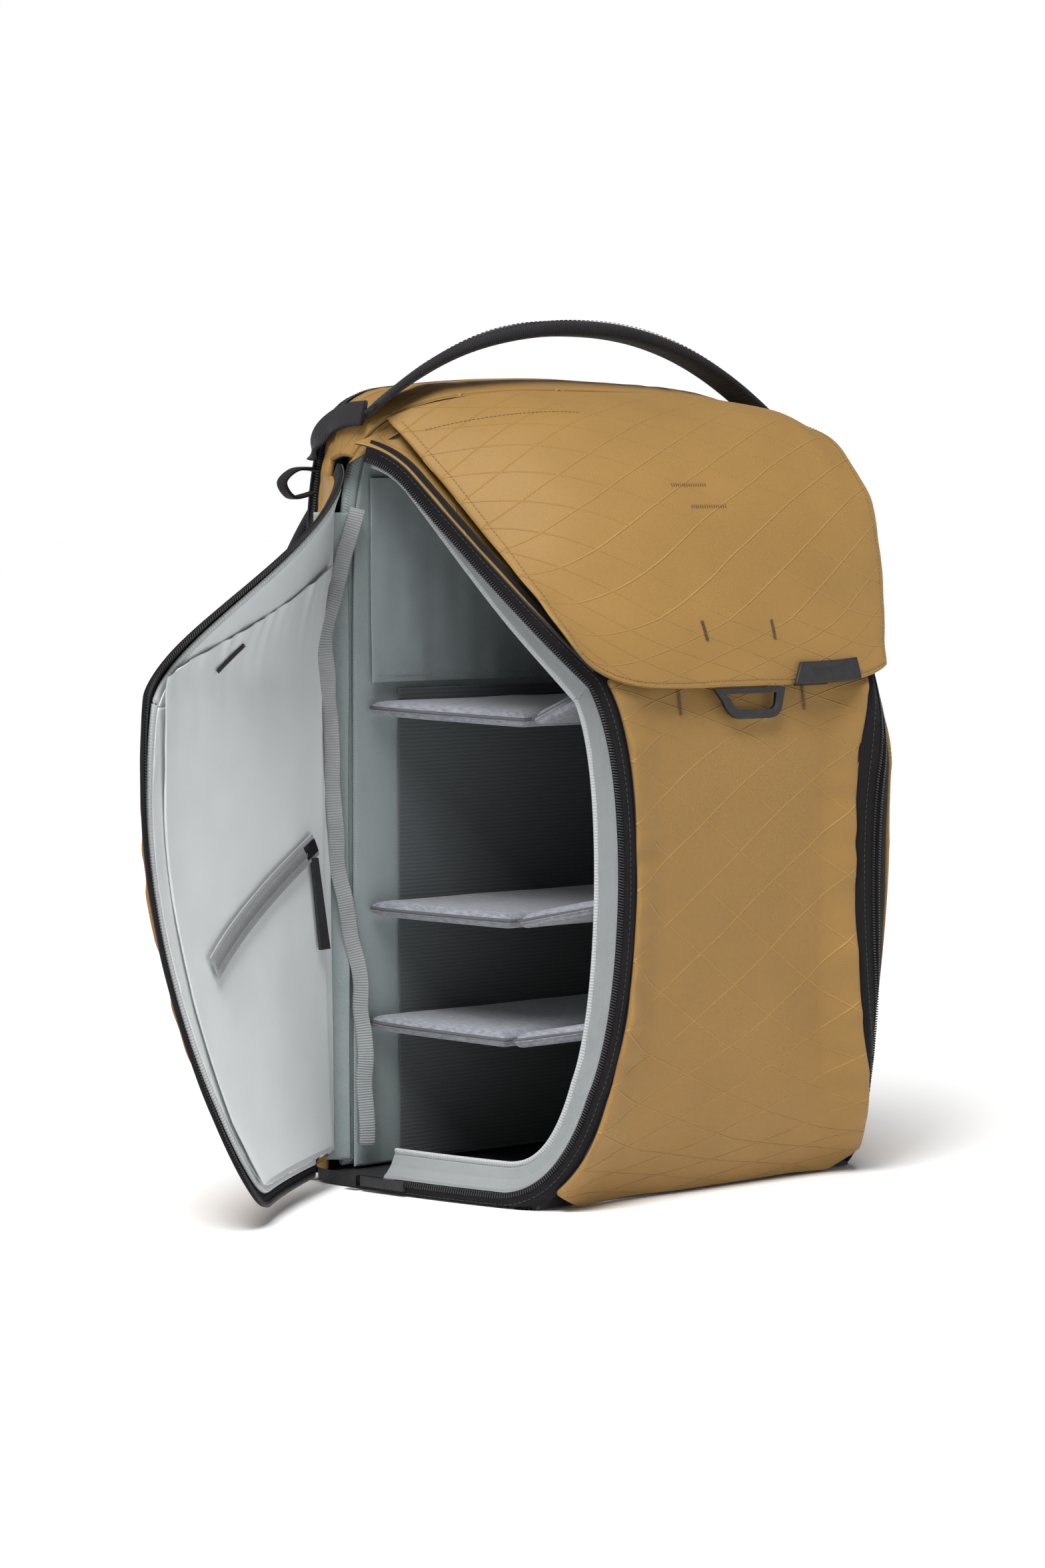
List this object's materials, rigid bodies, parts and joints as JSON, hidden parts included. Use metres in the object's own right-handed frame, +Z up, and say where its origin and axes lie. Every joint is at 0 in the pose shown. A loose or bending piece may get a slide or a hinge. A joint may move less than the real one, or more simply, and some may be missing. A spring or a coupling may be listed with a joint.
{
  "type": "camera backpack",
  "caption": "Side-access camera backpack with hinged zip doors, a latching top flap, folding padded dividers, a top carry handle and shoulder straps.",
  "frame": {"origin": "on the flat underside of the base panel, below the middle of the bag", "axes": "+X to the right seen from the front, -Y towards the front face, +Z up"},
  "size_m": [0.5194, 0.241, 0.5005],
  "materials": {
    "tan": "coated nylon with a fine weave and a raised diamond ripstop grid, satin",
    "black_tape": "woven zip tape and webbing",
    "charcoal": "padded charcoal woven fabric, matt",
    "grey_lining": "pale grey satin lining",
    "grey_twill": "grey-blue diagonal twill",
    "grey_felt": "light grey melange felt over foam",
    "grey_binding": "grosgrain binding",
    "loop_fabric": "ribbed loop pile",
    "black_metal": "black anodised, satin",
    "black_rubber": "moulded rubber, matt"
  },
  "bodies": {
    "bag_body": {"base_panel": "charcoal", "front_panel": "tan", "top_panel": "tan", "rear_band": "tan", "laptop_zip": "black_tape", "back_panel": "charcoal", "sleeve_board": "grey_twill", "inner_wall": "grey_twill", "loop_panel": "loop_fabric", "upper_lining": "grey_twill", "left_shoulder": "tan", "right_shoulder": "tan", "left_opening_zip": "black_tape", "right_opening_zip": "black_tape", "left_opening_facing": "grey_lining", "right_opening_facing": "grey_lining", "left_handle_anchor": "charcoal", "right_handle_anchor": "charcoal", "left_side_loop": "black_tape", "right_side_loop": "black_tape", "left_back_pad": "charcoal", "right_back_pad": "charcoal", "left_zip_slider": "black_metal", "right_zip_slider": "black_metal"},
    "left_door": {"left_door": "tan", "left_door_lining": "grey_lining", "left_door_zip": "black_tape", "left_hinge_strip": "grey_binding", "left_side_pocket": "tan", "left_door_pocket": "grey_lining", "left_pocket_zip": "grey_binding"},
    "right_door": {"right_door": "tan", "right_door_lining": "grey_lining", "right_door_zip": "black_tape", "right_hinge_strip": "grey_binding", "right_side_pocket": "tan"},
    "pocket_slider": {"left_pocket_slider": "black_metal"},
    "pocket_pull": {"left_pocket_pull": "black_rubber"},
    "left_zip_pull": {"left_zip_pull": "black_rubber"},
    "right_zip_pull": {"right_zip_pull": "black_rubber"},
    "top_shelf": {"divider_top_shelf": "grey_felt"},
    "top_leaf": {"divider_top_leaf": "grey_felt"},
    "middle_shelf": {"divider_middle_shelf": "grey_felt"},
    "middle_leaf": {"divider_middle_leaf": "grey_felt"},
    "bottom_shelf": {"divider_bottom_shelf": "grey_felt"},
    "bottom_leaf": {"divider_bottom_leaf": "grey_felt"},
    "flap": {"flap": "tan", "corner_tab": "black_rubber", "latch_mount": "black_metal"},
    "latch_ring": {"latch_ring": "black_metal"},
    "top_handle": {"top_handle": "charcoal"},
    "left_strap": {"left_strap_pad": "charcoal", "left_strap_webbing": "black_tape"},
    "right_strap": {"right_strap_pad": "charcoal", "right_strap_webbing": "black_tape"},
    "laptop_slider": {"laptop_slider": "black_metal"},
    "laptop_pull": {"laptop_pull": "black_rubber"}
  },
  "joints": [
    {"name": "left_door_hinge", "type": "hinge", "parent": "bag_body", "child": "left_door", "pos_m": [-0.162, 0.078, 0.2], "axis": [0, 0, -1], "range_deg": [-87, 30]},
    {"name": "right_door_hinge", "type": "hinge", "parent": "bag_body", "child": "right_door", "pos_m": [0.162, 0.078, 0.2], "axis": [0, 0, 1], "range_deg": [0, 117]},
    {"name": "pocket_zip_slide", "type": "slide", "parent": "left_door", "child": "pocket_slider", "axis": [-0.8351, -0.2818, -0.4724], "range_m": [0, 0.112]},
    {"name": "pocket_pull_swing", "type": "hinge", "parent": "pocket_slider", "child": "pocket_pull", "pos_m": [-0.1836, 0.0576, 0.191], "axis": [0.26, -0.9656, 0], "range_deg": [-40, 40]},
    {"name": "left_zip_pull_swing", "type": "hinge", "parent": "bag_body", "child": "left_zip_pull", "pos_m": [-0.1588, 0.0505, 0.005], "axis": [0, 0, -1], "range_deg": [0, 70]},
    {"name": "right_zip_pull_swing", "type": "hinge", "parent": "bag_body", "child": "right_zip_pull", "pos_m": [0.1588, 0.0505, 0.005], "axis": [0, 0, 1], "range_deg": [0, 70]},
    {"name": "top_shelf_slide", "type": "slide", "parent": "bag_body", "child": "top_shelf", "axis": [0, 0, 1], "range_m": [-0.01, 0.006]},
    {"name": "top_leaf_fold", "type": "hinge", "parent": "top_shelf", "child": "top_leaf", "pos_m": [0, -0.038, 0.272], "axis": [-1, 0, 0], "range_deg": [-25, 35]},
    {"name": "middle_shelf_slide", "type": "slide", "parent": "bag_body", "child": "middle_shelf", "axis": [0, 0, 1], "range_m": [-0.01, 0.01]},
    {"name": "middle_leaf_fold", "type": "hinge", "parent": "middle_shelf", "child": "middle_leaf", "pos_m": [0, -0.03, 0.158], "axis": [-1, 0, 0], "range_deg": [-12, 40]},
    {"name": "bottom_shelf_slide", "type": "slide", "parent": "bag_body", "child": "bottom_shelf", "axis": [0, 0, 1], "range_m": [-0.01, 0.01]},
    {"name": "bottom_leaf_fold", "type": "hinge", "parent": "bottom_shelf", "child": "bottom_leaf", "pos_m": [0, -0.027, 0.09], "axis": [-1, 0, 0], "range_deg": [-10, 40]},
    {"name": "flap_hinge", "type": "hinge", "parent": "bag_body", "child": "flap", "pos_m": [0, 0.03, 0.46], "axis": [-1, 0, 0], "range_deg": [0, 100]},
    {"name": "latch_pull", "type": "slide", "parent": "flap", "child": "latch_ring", "axis": [0, 0, -1], "range_m": [0, 0.006]},
    {"name": "handle_fold", "type": "hinge", "parent": "bag_body", "child": "top_handle", "pos_m": [0, 0.048, 0.445], "axis": [-1, 0, 0], "range_deg": [-30, 10]},
    {"name": "left_strap_swing", "type": "hinge", "parent": "bag_body", "child": "left_strap", "pos_m": [-0.078, 0.109, 0.428], "axis": [1, 0, 0], "range_deg": [0, 50]},
    {"name": "right_strap_swing", "type": "hinge", "parent": "bag_body", "child": "right_strap", "pos_m": [0.078, 0.109, 0.428], "axis": [1, 0, 0], "range_deg": [0, 50]},
    {"name": "laptop_zip_slide", "type": "slide", "parent": "bag_body", "child": "laptop_slider", "axis": [0, 0, -1], "range_m": [0, 0.18]},
    {"name": "laptop_pull_swing", "type": "hinge", "parent": "laptop_slider", "child": "laptop_pull", "pos_m": [0.1644, 0.09, 0.366], "axis": [1, 0, 0], "range_deg": [-40, 40]}
  ]
}
